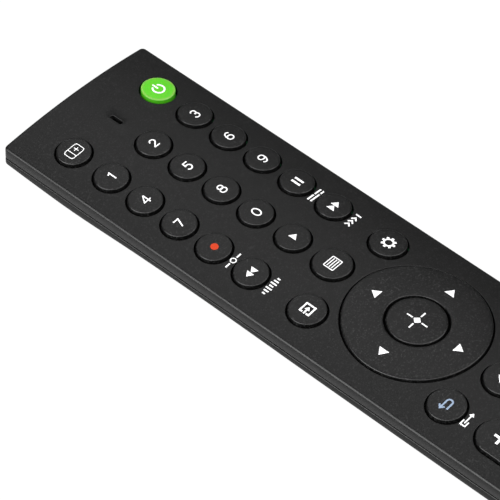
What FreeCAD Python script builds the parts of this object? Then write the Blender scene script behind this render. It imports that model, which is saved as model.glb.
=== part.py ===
"""A slim television remote control: a crowned upper shell with its keys, a boat-shaped lower shell
with a battery bay, a sliding battery cover, and the board, keypad mat and cells that it holds.

Millimetres. +Z is up, out of the keys. +Y points to the head, the end with the infrared window.
+X is the remote's right. The origin is on the table, under the middle of the remote.
"""
import FreeCAD, Part
import math
import os

from FreeCAD import Vector

# Overall case: its length is what the key field and the margins at its ends come to, and its height
# is what the cells, the bay's roof, the board and the keys need
head_margin = 24.85
tail_margin = 43.45
width = 46.0
face_rise = 5.0
crown_radius = 176.0
corner_radius = 1.6
edge_chamfer = 0.35
wall = 1.6
face_thickness = 1.5

# Seam between the two shells
seam_rise = 0.3
seam_gap = 0.35
lip_setback = 0.6
lip_thickness = 0.8
lip_height = 1.05
lip_clearance = 0.1

# Lower shell: how far the chine lies under the seam at distances from the head end, and at the tail
chine_line = ((-8.0, 1.1), (0.0, 1.4), (10.0, 1.9), (22.0, 2.2), (42.0, 1.5), (62.0, 1.25),
              (96.0, 1.7), (140.0, 1.95))
chine_tail = 1.7
chine_overrun = 8.0
belly_half_width = 11.8
head_flank = 11.0
tail_flank = 1.5
end_chine = 1.5
belly_chamfer = 1.4

# Keys
column_pitch = 13.8
row_pitch = 10.31
transport_pitch = 10.85
top_key_offset = 11.5
top_key_x = 13.9
key_radius = 4.0
function_key_radius = 4.3
key_gap = 0.4
key_crest = 0.62
key_travel = 0.8
key_rest_gap = 0.05

# Direction pad
nav_distance = 77.25
ring_radius = 16.5
ring_gap = 0.33
ring_crest = 0.35
middle_key_radius = 6.75
middle_gap = 0.48
middle_rim = 0.25
middle_crest = 0.35
middle_crest_radius = 3.4
web_radius = 8.5
web_thickness = 0.4
web_gap = 0.35
near_key_offset = 24.0
near_key_radius = 4.55
side_key_offset = 19.45
side_key_x = 13.55

# Rockers and mute key
rocker_x = 13.15
rocker_radius = 4.6
rocker_span = 16.0
rocker_distance = 118.0
rocker_gap = 0.38

# Microphone
microphone_slot_width = 0.8
microphone_slot_length = 3.4
microphone_radius = 2.0
microphone_height = 1.5

# Circuit board and keypad mat
board_thickness = 0.8
board_half_width = 18.8
board_end_gap = 6.0
mat_thickness = 0.6
mat_setback = 1.4
fit_gap = 0.05
sheet_corner = 2.0

# Battery bay
cell_radius = 5.25
cell_length = 44.5
cell_nub_radius = 2.4
cell_nub_length = 1.0
cell_pitch = 11.3
cell_gap = 0.1
spring_length = 3.2
spring_base_radius = 3.6
spring_tip_radius = 2.2
contact_thickness = 0.4
contact_width = 9.4
contact_height = 8.6
bay_wall = 1.0
bay_roof = 0.7
bay_setback = 4.4
bay_skirt_height = 3.4
side_gap = 0.4

# Battery cover
cover_setback = 7.1
cover_rise = 2.35
cover_gap = 0.15
rail_drop = 1.05
rail_thickness = 0.9
rail_width = 2.0
tongue_gap = 0.15
tongue_thickness = 0.9
tongue_overlap = 1.4
rail_end_gap = 3.0
latch_width = 8.0
latch_length = 1.2
latch_thickness = 0.7
thumb_width = 12.0
thumb_length = 7.0
thumb_depth = 0.5
thumb_corner = 1.5
thumb_ridges = 5
thumb_ridge_width = 0.56

# Screws
case_screw_x = 7.0
case_screw_setback = 3.5
case_boss_radius = 2.2
case_shank_radius = 1.0
case_head_radius = 1.9
case_head_height = 1.4
case_screw_length = 11.4
screw_clearance = 0.05
screw_end_gap = 1.0
boss_clearance = 0.3
pin_x = 7.0
pin_distances = (5.2, 49.4)
pin_radius = 1.1
pin_reach = 0.3

# Head end: infrared window and diode
window_width = 12.0
window_drop = 0.55
window_rise = 2.4
window_flange = 1.0
window_flange_rise = 0.5
window_flange_thickness = 0.6
diode_radius = 1.5
diode_length = 3.0
diode_lead = 0.5
diode_lead_pitch = 2.54
diode_wall_gap = 1.0

# Board components
chip_size = (10.0, 10.0, 1.6)
chip_distance = 38.3
resonator_size = (7.0, 2.4, 2.2)
resonator_corner = 1.1
resonator_x = 9.5
resonator_distance = 32.3
capacitor_radius = 2.5
capacitor_length = 7.0
capacitor_x = -9.0
capacitor_distance = 16.3

# Ribs
rib_thickness = 1.0
rib_distances = (-7.7, 24.3, 62.3, 92.3)
rib_opening = 16.0
face_rib_height = 0.8

# Cutting tools run past what they cut by the overcut, and an edge is picked by its height to within edge_pick
overcut = 1.0
edge_pick = 0.1
least_corner = 0.5
same_point = 1e-6

# Distances run from the first row of digit keys towards the tail
length = head_margin + rocker_distance + tail_margin
half_width = width / 2
half_length = length / 2
cell_height = wall + cell_gap + cell_radius
bay_ceiling = cell_height + cell_radius + cell_gap
board_height = bay_ceiling + bay_roof
board_top = board_height + board_thickness
mat_top = board_top + mat_thickness
key_base = mat_top + key_travel + key_rest_gap
case_height = board_height + face_rise
seam_height = board_height + seam_rise
upper_base = seam_height + seam_gap
window_low = seam_height - window_drop
window_high = seam_height + window_rise
cover_top = cell_height + cover_rise
rail_height = cell_height - rail_drop
first_row_y = half_length - head_margin
nav_y = first_row_y - nav_distance
rocker_y = first_row_y - rocker_distance
bay_rear = bay_setback - half_length
bay_front = bay_rear + cell_length + spring_length + 2 * contact_thickness
cover_front = bay_front + cover_setback

shapes = {}


def block(x0, x1, y0, y1, z0, z1):
    """A plain block between two corners."""
    return Part.makeBox(x1 - x0, y1 - y0, z1 - z0, Vector(x0, y0, z0))


def rod(x, y, z0, z1, radius):
    """An upright cylinder."""
    return Part.makeCylinder(radius, z1 - z0, Vector(x, y, z0))


def rounded_wire(x0, x1, y0, y1, radius, z):
    """A flat rounded rectangle outline at one height."""
    arcs = ((x1 - radius, y1 - radius, 0), (x0 + radius, y1 - radius, 90),
            (x0 + radius, y0 + radius, 180), (x1 - radius, y0 + radius, 270))
    edges = []
    ends = []
    for cx, cy, start in arcs:
        a, m, b = (math.radians(start + turn) for turn in (0, 45, 90))
        p, q, r = (Vector(cx + radius * math.cos(t), cy + radius * math.sin(t), z) for t in (a, m, b))
        edges.append(Part.Arc(p, q, r).toShape())
        ends.append((p, r))
    for i in range(4):
        tail, head = ends[i][1], ends[(i + 1) % 4][0]
        if not tail.isEqual(head, same_point):
            edges.append(Part.makeLine(tail, head))
    return Part.Wire(Part.__sortEdges__(edges))


def rounded_block(x0, x1, y0, y1, radius, z0, z1):
    """A block with four rounded upright edges."""
    face = Part.Face(rounded_wire(x0, x1, y0, y1, radius, z0))
    return face.extrude(Vector(0, 0, z1 - z0))


def pill(x, y, radius, span, z0, z1):
    """An upright slab with two round ends, its ends spaced along Y."""
    return rounded_block(x - radius, x + radius, y - span / 2 - radius, y + span / 2 + radius, radius, z0, z1)


def plan_block(inset, z0, z1):
    """The remote's outline in plan, drawn in by an inset, between two heights."""
    x, y = half_width - inset, half_length - inset
    return rounded_block(-x, x, -y, y, max(corner_radius - inset, least_corner), z0, z1)


def crown_drop(x, radius):
    """How far a crown of this radius has fallen at x."""
    return radius - math.sqrt(radius ** 2 - x ** 2)


def face_height(x):
    """Height of the outer face above the table at x."""
    return case_height - crown_drop(x, crown_radius)


def crown_block(depth, z0):
    """Everything under the crowned face, sunk by a depth, down to z0."""
    radius = crown_radius - depth
    x, tail = half_width + overcut, -half_length - overcut
    edge = case_height - depth - crown_drop(x, radius)
    low_left, low_right = Vector(-x, tail, z0), Vector(x, tail, z0)
    left, right = Vector(-x, tail, edge), Vector(x, tail, edge)
    top = Part.Arc(left, Vector(0, tail, case_height - depth), right).toShape()
    lines = [Part.makeLine(low_left, left), top, Part.makeLine(right, low_right),
             Part.makeLine(low_right, low_left)]
    return Part.Face(Part.Wire(lines)).extrude(Vector(0, -2 * tail, 0))


def shell_body(inset, depth, z0):
    """The upper shell's space: its plan outline under the crowned face."""
    return plan_block(inset, z0, case_height + overcut).common(crown_block(depth, z0))


def inset_corner(out, top, foot, inset):
    """The wall and belly corners of a sloping flank, drawn in by an inset.

    out is the wall's distance from the middle, top the chine's height and foot the belly's half width.
    """
    run = out - foot
    slant = math.hypot(run, top)
    base_x = foot - inset * top / slant
    base_z = inset * run / slant
    chine = base_z + (out - inset - base_x) * top / run
    belly = base_x + (inset - base_z) * run / top
    return chine, belly


def flank_cut(side, inset):
    """What lies outside one long flank, between the waving chine and the belly's edge."""
    chine, foot = [], []
    for distance, drop in chine_line + ((length, chine_tail), (length + chine_overrun, chine_tail)):
        corner, belly = inset_corner(half_width, seam_height - drop, belly_half_width, inset)
        y = half_length - distance
        chine.append(Vector(side * (half_width - inset), y, corner))
        foot.append(Vector(side * belly, y, inset))
    edges = []
    for points in (chine, foot):
        curve = Part.BSplineCurve()
        curve.interpolate(points)
        edges.append(curve.toShape())
    return Part.makeRuledSurface(*edges).extrude(Vector(side * half_width, 0, -half_width))


def end_cut(side, flank, inset):
    """What lies outside the sloping underside of the head (side 1) or the tail (side -1)."""
    corner, foot = inset_corner(half_length, seam_height - end_chine, half_length - flank, inset)
    y = half_length - inset
    slope = (corner - inset) / (y - foot)
    points = [Vector(-half_length, side * foot, inset), Vector(-half_length, side * y, corner),
              Vector(-half_length, side * (y + overcut), corner + overcut * slope),
              Vector(-half_length, side * (y + overcut), inset - overcut),
              Vector(-half_length, side * (foot - overcut / slope), inset - overcut)]
    return Part.Face(Part.makePolygon(points + points[:1])).extrude(Vector(length, 0, 0))


def hull(inset):
    """The lower shell's form with sharp edges, drawn in by an inset."""
    cuts = [flank_cut(1, inset), flank_cut(-1, inset), end_cut(1, head_flank, inset),
            end_cut(-1, tail_flank, inset)]
    return plan_block(inset, inset, seam_height).cut(cuts).Solids[0]


def outer_hull():
    """The lower shell's outer form, bevelled round its belly and up its four hips."""
    form = hull(0)
    belly = [edge for edge in form.Edges
             if edge.BoundBox.ZMin < edge_pick and edge.BoundBox.ZMax < seam_height - edge_pick]
    return form.makeChamfer(belly_chamfer, belly).Solids[0]


def cover_zone(gap):
    """The space of the battery cover: everything low and behind the cover's front edge."""
    x = half_width + overcut
    return block(-x, x, -half_length - overcut, cover_front - gap, -overcut, cover_top - gap)


def tilted(tool, x, y, surface):
    """Lays a tool built on the origin onto the crowned face at a key."""
    lean = math.degrees(math.asin(x / crown_radius))
    tool = tool.copy()
    tool.rotate(Vector(0, 0, 0), Vector(0, 1, 0), lean)
    tool.translate(Vector(x, y, surface))
    return tool


def crest_cut(x, y):
    """What lies above a key's flat crest, which leans with the crowned face."""
    slab = block(-rocker_span, rocker_span, -rocker_span, rocker_span, key_crest, case_height)
    return tilted(slab, x, y, face_height(x))


def round_key(x, y, radius):
    """A round key: an upright body whose crest lies along the crowned face."""
    return rod(x, y, key_base, face_height(x) + 2 * key_crest, radius).cut(crest_cut(x, y))


def rocker_key(x, y):
    """A pill-shaped rocker key."""
    top = face_height(x) + 2 * key_crest
    return pill(x, y, rocker_radius, rocker_span, key_base, top).cut(crest_cut(x, y))


# Where every key stands: name, x, y and radius
rows = (("key_1", "key_2", "key_3"), ("key_4", "key_5", "key_6"), ("key_7", "key_8", "key_9"),
        ("key_record", "key_0", "key_pause"), ("key_rewind", "key_play", "key_fast_forward"))
row_places = [first_row_y - row * row_pitch for row in range(len(rows) - 1)]
row_places.append(row_places[-1] - transport_pitch)
round_keys = [(name, (column - 1) * column_pitch, y, key_radius)
              for y, names in zip(row_places, rows) for column, name in enumerate(names)]
top_key_y = first_row_y + top_key_offset
round_keys += [("key_screen", -top_key_x, top_key_y, key_radius),
               ("key_power", top_key_x, top_key_y, key_radius),
               ("key_input", -side_key_x, nav_y + side_key_offset, function_key_radius),
               ("key_list", 0, nav_y + near_key_offset, near_key_radius),
               ("key_settings", side_key_x, nav_y + side_key_offset, function_key_radius),
               ("key_back", -side_key_x, nav_y - side_key_offset, function_key_radius),
               ("key_home", 0, nav_y - near_key_offset, near_key_radius),
               ("key_options", side_key_x, nav_y - side_key_offset, function_key_radius),
               ("key_mute", 0, rocker_y, function_key_radius)]
rocker_keys = [("rocker_volume", -rocker_x, rocker_y), ("rocker_programme", rocker_x, rocker_y)]
microphone_y = top_key_y

face_ribs = [(row_places[row] + row_places[row + 1]) / 2 for row in (1, 3)]
bay_half_width = cell_pitch / 2 + cell_radius + side_gap
board_head = half_length - board_end_gap
board_tail = bay_rear
case_screws = [(side * case_screw_x, bay_front + case_screw_setback) for side in (-1, 1)]
pins = [(side * pin_x, first_row_y - distance) for side, distance in zip((-1, 1), pin_distances)]
head_wall = half_length - wall
bay_back = bay_rear - bay_wall
bay_end = cover_front + wall


def make_upper_case():
    """The upper shell: crowned face, side walls, rebate, screw bosses and the key openings."""
    shell = shell_body(0, 0, upper_base)
    rim = [e for e in shell.Edges if e.BoundBox.ZMin > face_height(half_width) - edge_pick]
    shell = shell.makeChamfer(edge_chamfer, rim)
    shell = shell.cut(shell_body(wall, face_thickness, upper_base - overcut))
    rebate_top = seam_height + lip_height + lip_clearance
    shell = shell.cut(plan_block(lip_setback - lip_clearance, upper_base - overcut, rebate_top))
    inner = shell_body(wall - fit_gap, face_thickness - fit_gap, board_height - pin_reach)
    ribs = [block(-board_half_width, board_half_width, y - rib_thickness / 2, y + rib_thickness / 2,
                  face_height(board_half_width) - face_thickness - face_rib_height, case_height)
            for y in face_ribs]
    bosses = [rod(x, y, board_height - pin_reach, case_height, pin_radius) for x, y in pins]
    bosses += [rod(x, y, board_height, case_height, case_boss_radius) for x, y in case_screws]
    shell = shell.fuse([piece.common(inner) for piece in ribs + bosses])
    cuts = [rod(x, y, seam_height, case_height + overcut, r + key_gap) for _, x, y, r in round_keys]
    cuts += [pill(x, y, rocker_radius + rocker_gap, rocker_span, seam_height, case_height + overcut)
             for _, x, y in rocker_keys]
    cuts.append(rod(0, nav_y, seam_height, case_height + overcut, ring_radius + ring_gap))
    slot_radius = microphone_slot_width / 2
    cuts.append(pill(0, microphone_y, slot_radius, microphone_slot_length - microphone_slot_width,
                     seam_height, case_height + overcut))
    cuts += [rod(x, y, board_height - overcut, case_screw_tip, case_shank_radius + screw_clearance)
             for x, y in case_screws]
    cuts.append(window_cut())
    return shell.cut(cuts)


case_screw_head = bay_skirt_height + case_head_height
case_screw_tip = case_screw_head + case_screw_length


def window_cut():
    """The notch that both shells leave for the infrared window."""
    x = window_width / 2 + fit_gap
    return block(-x, x, head_wall - overcut, half_length + overcut,
                 window_low - fit_gap, window_high + fit_gap)


def make_lower_case():
    """The lower shell: hull, lip, ribs, battery bay, screw posts and the rails of the cover."""
    shell = outer_hull().cut([hull(wall), cover_zone(0)])
    lip_base = seam_height - wall
    lip = plan_block(lip_setback, lip_base, seam_height + lip_height)
    lip = lip.cut(plan_block(lip_setback + lip_thickness, lip_base - overcut,
                             seam_height + lip_height + overcut))
    room = hull(wall - fit_gap)
    tops = board_height - fit_gap
    ribs = []
    for distance in rib_distances:
        y = first_row_y - distance
        rib = block(-half_width, half_width, y - rib_thickness / 2, y + rib_thickness / 2, 0, tops)
        notch = block(-rib_opening / 2, rib_opening / 2, y - rib_thickness, y + rib_thickness,
                      tops / 2, tops + overcut)
        ribs.append(rib.cut(notch))
    outer = bay_half_width + bay_wall
    bay = [block(-outer, outer, bay_back, bay_end, bay_ceiling, tops),
           block(-outer, outer, bay_back, bay_rear, bay_skirt_height, tops),
           block(-outer, outer, bay_front, bay_front + bay_wall, bay_skirt_height, tops),
           block(-outer, outer, bay_front, bay_end, bay_skirt_height, bay_skirt_height + bay_wall),
           block(-half_width, half_width, cover_front, bay_end, 0, cover_top + bay_wall)]
    for side in (-1, 1):
        inside, outside = sorted((side * bay_half_width, side * outer))
        bay.append(block(inside, outside, bay_back, bay_end, bay_skirt_height, tops))
        inside, outside = sorted((side * outer, side * (outer + rail_width)))
        bay.append(block(inside, outside, bay_back + rail_end_gap, bay_front,
                         rail_height, rail_height + rail_thickness))
        inside, outside = sorted((side * bay_half_width, side * half_width))
        bay.append(block(inside, outside, -half_length, bay_end, cover_top, cover_top + bay_wall))
    posts = [rod(x, y, bay_skirt_height, tops, case_boss_radius + bay_wall) for x, y in case_screws]
    shell = shell.fuse([lip] + [piece.common(room) for piece in ribs + bay + posts])
    cuts = [rod(x, y, bay_skirt_height - overcut, case_screw_head, case_head_radius + screw_clearance)
            for x, y in case_screws]
    cuts += [rod(x, y, bay_skirt_height, board_height + overcut, case_shank_radius + screw_clearance)
             for x, y in case_screws]
    slot = latch_width / 2 + cover_gap
    cuts.append(block(-slot, slot, cover_front - overcut, bay_end + overcut,
                      wall - latch_thickness - cover_gap, wall + cover_gap))
    cuts.append(window_cut())
    return shell.cut(cuts)


def make_battery_cover():
    """The sliding cover: the tail part of the hull with two tongues, a latch and a thumb grip."""
    zone = cover_zone(cover_gap)
    shell = outer_hull().cut(hull(wall)).common(zone)
    room = hull(wall - fit_gap)
    low = rail_height + rail_thickness + tongue_gap
    inner = bay_half_width + bay_wall + rail_width - tongue_overlap
    tongues = []
    for side in (-1, 1):
        inside, outside = sorted((side * inner, side * half_width))
        tongues.append(block(inside, outside, bay_back + rail_end_gap, bay_front,
                             low, low + tongue_thickness))
    front = cover_front - cover_gap
    latch = block(-latch_width / 2, latch_width / 2, front - wall, front + cover_gap + latch_length,
                  wall - latch_thickness, wall)
    shell = shell.fuse([tongue.common(room) for tongue in tongues] + [latch])
    grip_y = front - thumb_length
    pocket = rounded_block(-thumb_width / 2, thumb_width / 2, grip_y - thumb_length / 2,
                           grip_y + thumb_length / 2, thumb_corner, -overcut, thumb_depth)
    pitch = thumb_length / thumb_ridges
    for i in range(thumb_ridges):
        y = grip_y - thumb_length / 2 + (i + 0.5) * pitch
        pocket = pocket.cut(block(thumb_corner - thumb_width / 2, thumb_width / 2 - thumb_corner,
                                  y - thumb_ridge_width / 2, y + thumb_ridge_width / 2, 0, thumb_depth))
    return shell.cut(pocket)


def make_nav_ring():
    """The direction ring, crowned with the face round it."""
    low = key_base + web_gap
    body = rod(0, nav_y, low, case_height + 2 * ring_crest, ring_radius)
    body = body.common(crown_block(-ring_crest, 0))
    return body.cut(rod(0, nav_y, low - overcut, case_height + overcut, middle_key_radius + middle_gap))


def make_nav_web():
    """The silicone web under the ring that bends so that the ring can rock both ways."""
    web = rod(0, nav_y, key_base - web_thickness, key_base, web_radius)
    return web.cut(rod(0, nav_y, key_base - web_thickness - overcut, key_base + overcut,
                       middle_key_radius + middle_gap))


def make_middle_key():
    """The key inside the ring, with a raised crest."""
    rim = case_height + middle_rim
    cap = Part.makeCone(middle_key_radius, middle_crest_radius, middle_crest, Vector(0, nav_y, rim))
    return rod(0, nav_y, key_base, rim, middle_key_radius).fuse(cap)


def sheet(setback, z0, z1):
    """A flat sheet under the keys, set back from the board's outline."""
    x = board_half_width - setback
    return rounded_block(-x, x, board_tail + setback, board_head - setback, sheet_corner, z0, z1)


def with_holes(plate, low, high):
    """A sheet with clear holes for the pins and bosses of the upper shell."""
    holes = [rod(x, y, low - overcut, high + overcut, pin_radius + boss_clearance) for x, y in pins]
    holes += [rod(x, y, low - overcut, high + overcut, case_boss_radius + boss_clearance)
              for x, y in case_screws]
    return plate.cut(holes)


def make_circuit_board():
    """The board, with clear holes for the pins and bosses."""
    return with_holes(sheet(0, board_height, board_top), board_height, board_top)


def make_keypad_mat():
    """The silicone sheet over the board, open over the microphone too."""
    opening = rod(0, microphone_y, board_top - overcut, mat_top + overcut, microphone_radius + boss_clearance)
    return with_holes(sheet(mat_setback, board_top, mat_top).cut(opening), board_top, mat_top)


def make_case_screws():
    """The two screws that close the case, driven upwards with the cover off."""
    screws = []
    for x, y in case_screws:
        head = rod(x, y, bay_skirt_height, case_screw_head, case_head_radius)
        shank = rod(x, y, case_screw_head, case_screw_tip - screw_end_gap, case_shank_radius)
        screws.append(head.fuse(shank))
    return Part.makeCompound(screws)


def make_cell(side):
    """One cell, its raised end to the head on the left and to the tail on the right."""
    x = side * cell_pitch / 2
    low = bay_rear + contact_thickness + (0 if side > 0 else spring_length)
    high = low + cell_length
    body_low = low + (cell_nub_length if side > 0 else 0)
    body_high = high - (0 if side > 0 else cell_nub_length)
    forward = Vector(0, 1, 0)
    body = Part.makeCylinder(cell_radius, body_high - body_low, Vector(x, body_low, cell_height), forward)
    nub = Part.makeCylinder(cell_nub_radius, high - low, Vector(x, low, cell_height), forward)
    nub = nub.common(block(x - cell_radius, x + cell_radius, low, high, 0, case_height))
    return body.fuse(nub).removeSplitter()


def contact_plate(x, y0, y1, half):
    """A flat contact plate that stands against an end of the bay."""
    low = cell_height - contact_height / 2
    return block(x - half, x + half, y0, y1, low, low + contact_height)


def spring_cone(x, y, direction):
    """The outer form of a coned contact spring."""
    return Part.makeCone(spring_base_radius, spring_tip_radius, spring_length, Vector(x, y, cell_height),
                         Vector(0, direction, 0))


def make_bridge_contact():
    """The contact at the tail that joins the two cells, with the left cell's spring."""
    x = cell_pitch / 2
    y = bay_rear + contact_thickness
    plate = contact_plate(0, bay_rear, y, x + contact_width / 2)
    return plate.fuse(spring_cone(-x, y, 1))


def make_negative_contact():
    """The sprung contact at the front of the right cell."""
    x = cell_pitch / 2
    y = bay_front - contact_thickness
    return contact_plate(x, y, bay_front, contact_width / 2).fuse(spring_cone(x, y, -1))


def make_positive_contact():
    """The flat contact at the front of the left cell."""
    return contact_plate(-cell_pitch / 2, bay_front - contact_thickness, bay_front, contact_width / 2)


def make_window():
    """The dark window at the head, with the flange that holds it behind the wall."""
    x = window_width / 2
    pane = block(-x, x, head_wall - fit_gap, half_length, window_low, window_high)
    wide = x + window_flange
    back = head_wall - fit_gap
    flange = block(-wide, wide, back - window_flange_thickness, back,
                   window_low, window_high + window_flange_rise)
    return pane.fuse(flange).removeSplitter()


def make_diode():
    """The infrared diode in front of the board, with its two leads."""
    z = (window_low + window_high) / 2
    front = head_wall - diode_wall_gap
    lamp = Part.makeCylinder(diode_radius, diode_length, Vector(0, front - diode_length, z), Vector(0, 1, 0))
    for side in (-1, 1):
        x = side * diode_lead_pitch / 2
        lamp = lamp.fuse(block(x - diode_lead / 2, x + diode_lead / 2, board_head - mat_setback + fit_gap,
                               front - diode_length + diode_radius / 2, board_top, board_top + diode_lead))
    return lamp


def make_chip():
    """The controller chip under the board."""
    dx, dy, dz = chip_size
    y = first_row_y - chip_distance
    return block(-dx / 2, dx / 2, y - dy / 2, y + dy / 2, board_height - dz, board_height)


def make_resonator():
    """The resonator under the board."""
    dx, dy, dz = resonator_size
    x, y = resonator_x, first_row_y - resonator_distance
    return rounded_block(x - dx / 2, x + dx / 2, y - dy / 2, y + dy / 2, resonator_corner,
                         board_height - dz, board_height)


def make_capacitor():
    """The capacitor that lies under the board."""
    x, y = capacitor_x, first_row_y - capacitor_distance
    return Part.makeCylinder(capacitor_radius, capacitor_length,
                             Vector(x, y - capacitor_length / 2, board_height - capacitor_radius),
                             Vector(0, 1, 0))


def make_microphone():
    """The microphone capsule under the slot."""
    return rod(0, microphone_y, board_top, board_top + microphone_height, microphone_radius)


shapes["upper_case"] = make_upper_case()
shapes["lower_case"] = make_lower_case()
shapes["battery_cover"] = make_battery_cover()
for name, x, y, radius in round_keys:
    shapes[name] = round_key(x, y, radius)
for name, x, y in rocker_keys:
    shapes[name] = rocker_key(x, y)
shapes["nav_ring"] = make_nav_ring()
shapes["nav_web"] = make_nav_web()
shapes["key_ok"] = make_middle_key()
shapes["keypad_mat"] = make_keypad_mat()
shapes["circuit_board"] = make_circuit_board()
shapes["case_screws"] = make_case_screws()
shapes["battery_left"] = make_cell(-1)
shapes["battery_right"] = make_cell(1)
shapes["bridge_contact"] = make_bridge_contact()
shapes["negative_contact"] = make_negative_contact()
shapes["positive_contact"] = make_positive_contact()
shapes["infrared_window"] = make_window()
shapes["infrared_diode"] = make_diode()
shapes["controller_chip"] = make_chip()
shapes["resonator"] = make_resonator()
shapes["capacitor"] = make_capacitor()
shapes["microphone"] = make_microphone()

os.makedirs("parts", exist_ok=True)
for name, shape in shapes.items():
    if not shape.isValid():
        print("not valid:", name)
    shape.exportStep(f"parts/{name}.step")
    print(f"{name:18s} solids {len(shape.Solids)}  volume {shape.Volume:9.1f} mm3")
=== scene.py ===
"""The looks of a slim television remote control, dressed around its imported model.

The sections follow the remote as it is put together. Lengths are millimetres, and every mesh is
scaled to metres as it is made. +Z is out of the keys, and +Y points to the head.
"""
from math import atan2, copysign, cos, degrees, hypot, pi, radians, sin, sqrt, tan

import bmesh
import bpy
from mathutils import Matrix, Vector
from mathutils.geometry import delaunay_2d_cdt


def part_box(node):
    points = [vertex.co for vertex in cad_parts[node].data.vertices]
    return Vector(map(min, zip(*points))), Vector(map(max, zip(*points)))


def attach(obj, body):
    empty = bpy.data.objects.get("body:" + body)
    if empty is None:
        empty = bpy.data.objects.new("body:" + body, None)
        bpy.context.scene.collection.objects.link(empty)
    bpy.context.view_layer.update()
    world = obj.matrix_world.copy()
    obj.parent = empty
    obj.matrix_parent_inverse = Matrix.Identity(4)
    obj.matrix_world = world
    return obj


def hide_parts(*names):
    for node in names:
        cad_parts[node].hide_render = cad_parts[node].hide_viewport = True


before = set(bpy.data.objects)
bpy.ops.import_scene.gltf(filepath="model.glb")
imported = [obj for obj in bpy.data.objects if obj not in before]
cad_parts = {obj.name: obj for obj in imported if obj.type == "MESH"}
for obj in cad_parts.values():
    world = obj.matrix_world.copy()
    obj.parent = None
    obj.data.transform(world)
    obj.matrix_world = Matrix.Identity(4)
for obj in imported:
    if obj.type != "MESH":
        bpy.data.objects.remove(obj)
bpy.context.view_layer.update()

# Lower shell
# A boat-shaped moulding in matte black plastic. Its wall stands upright to a waving chine, turns
# under to a flat belly, and ends in a lip that fits into the upper shell.
metre = 0.001


def node_corners(node):
    """The lowest and the highest corner of a CAD node, in millimetres."""
    return [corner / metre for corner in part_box(node)]


_, case_high = node_corners("lower_case")
corner_steps = 8
side_steps = 62
end_steps = 14
smooth_angle = radians(34)
half_width = case_high.x
half_length = case_high.y
lip_height = 1.05
seam_height = case_high.z - lip_height
wall = 1.6
corner_radius = 1.15
least_corner = 0.3
chine_line = ((-8, 1.1), (0, 1.4), (10, 1.9), (22, 2.2), (42, 1.5), (62, 1.25), (96, 1.7), (140, 1.95),
              (2 * half_length, 1.7), (2 * half_length + 8, 1.7))
chine_rounding = 0.35
chine_inset = 0.03
chine_over = 0.3
chine_under = 0.4
chine_foot = 1.2
flank_length = 17.0
flank_shares = (0.85, 0.7, 0.55, 0.4, 0.25, 0.14)
belly_half_width = 11.8
belly_rounding = 1.3
belly_steps = 5
belly_corner_loss = 0.8
head_flank = 11.0
tail_flank = 1.5
flank_slope = radians(46.5)
tail_slope = radians(82.6)
edge_rounding = 0.16
edge_in = 0.3
edge_along = 0.4
seam_gap = 0.35
groove_depth = 0.32
groove_clearance = 0.03
groove_foot = 0.02
skin_depth = 1.0
skin_top_drop = 0.4
works_depth = 0.55
works_overlap = 0.05
weld_distance = 0.001
cutter_room = 1.0
grain_size = 0.13
pit_range = (0.36, 0.64)
pit_depth = 0.005
pit_roughness = 0.06
speck_size = 0.36
speck_range = (0.54, 0.7)
cloud_scale = 45.0
cloud_roughness = 0.04
plastic_shine = 0.2
case_roughness = 0.34
case_black = (0.0004, 0.0004, 0.0004)
case_speck = (0.0067, 0.0067, 0.0067)
inside_roughness = 0.36
inside_pit_depth = 0.006
inside_speck_size = 0.6
inside_black = (0.006, 0.006, 0.0062)
inside_speck = (0.012, 0.012, 0.0124)


class Skin:
    """The points and faces of one piece as they are gathered, in millimetres."""

    def __init__(self):
        self.points = []
        self.faces = []

    def add(self, points):
        first = len(self.points)
        self.points.extend(points)
        return list(range(first, len(self.points)))

    def sew(self, lines):
        """Joins closed lines, which have as many points each, with four-sided faces, each to the next."""
        for low, high in zip(lines, lines[1:]):
            for i in range(len(low)):
                j = (i + 1) % len(low)
                self.faces.append((low[i], low[j], high[j], high[i]))

    def loft(self, loops, last_cap=True):
        """A skin over closed loops, its first end and, if asked, its last closed by one flat face."""
        lines = [self.add(loop) for loop in loops]
        self.sew(lines)
        self.faces.append(tuple(lines[0]))
        if last_cap:
            self.faces.append(tuple(lines[-1]))
        return lines

    def crown(self, line, peak):
        """Closes a line of points with a fan to its peak."""
        top = self.add([peak])[0]
        for i, point in enumerate(line):
            self.faces.append((point, line[(i + 1) % len(line)], top))

    def block(self, x0, x1, y0, y1, z0, z1):
        """A plain block."""
        self.loft([[(x0, y0, z), (x1, y0, z), (x1, y1, z), (x0, y1, z)] for z in (z0, z1)])

    def object(self, name):
        """The piece in metres, with every face turned outwards."""
        made = bpy.data.meshes.new(name)
        made.from_pydata([Vector(p) * metre for p in self.points], [], self.faces)
        mended(made, lambda shell: bmesh.ops.recalc_face_normals(shell, faces=shell.faces))
        return placed(bpy.data.objects.new(name, made))


def mended(mesh, change):
    """Changes a mesh by one step of Blender's mesh editing."""
    shell = bmesh.new()
    shell.from_mesh(mesh)
    change(shell)
    shell.to_mesh(mesh)
    shell.free()


def placed(thing):
    """Puts a new object into the scene."""
    bpy.context.scene.collection.objects.link(thing)
    return thing


def applied(piece):
    """Turns a piece's modifiers into its mesh."""
    bpy.context.view_layer.update()
    seen = piece.evaluated_get(bpy.context.evaluated_depsgraph_get())
    piece.data = bpy.data.meshes.new_from_object(seen)
    piece.modifiers.clear()
    return piece


def carved(piece, cutter, operation="DIFFERENCE"):
    """Cuts a piece with another, which is used up."""
    cut = piece.modifiers.new("cut", "BOOLEAN")
    cut.operation = operation
    cut.solver = "EXACT"
    cut.object = cutter
    applied(piece)
    bpy.data.objects.remove(cutter)
    return piece


def eased(piece, width):
    """Rounds a piece's sharp edges by a width."""
    ease = piece.modifiers.new("ease", "BEVEL")
    ease.width = width * metre
    ease.segments = 2
    ease.limit_method = "ANGLE"
    ease.angle_limit = smooth_angle
    return applied(piece)


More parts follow.
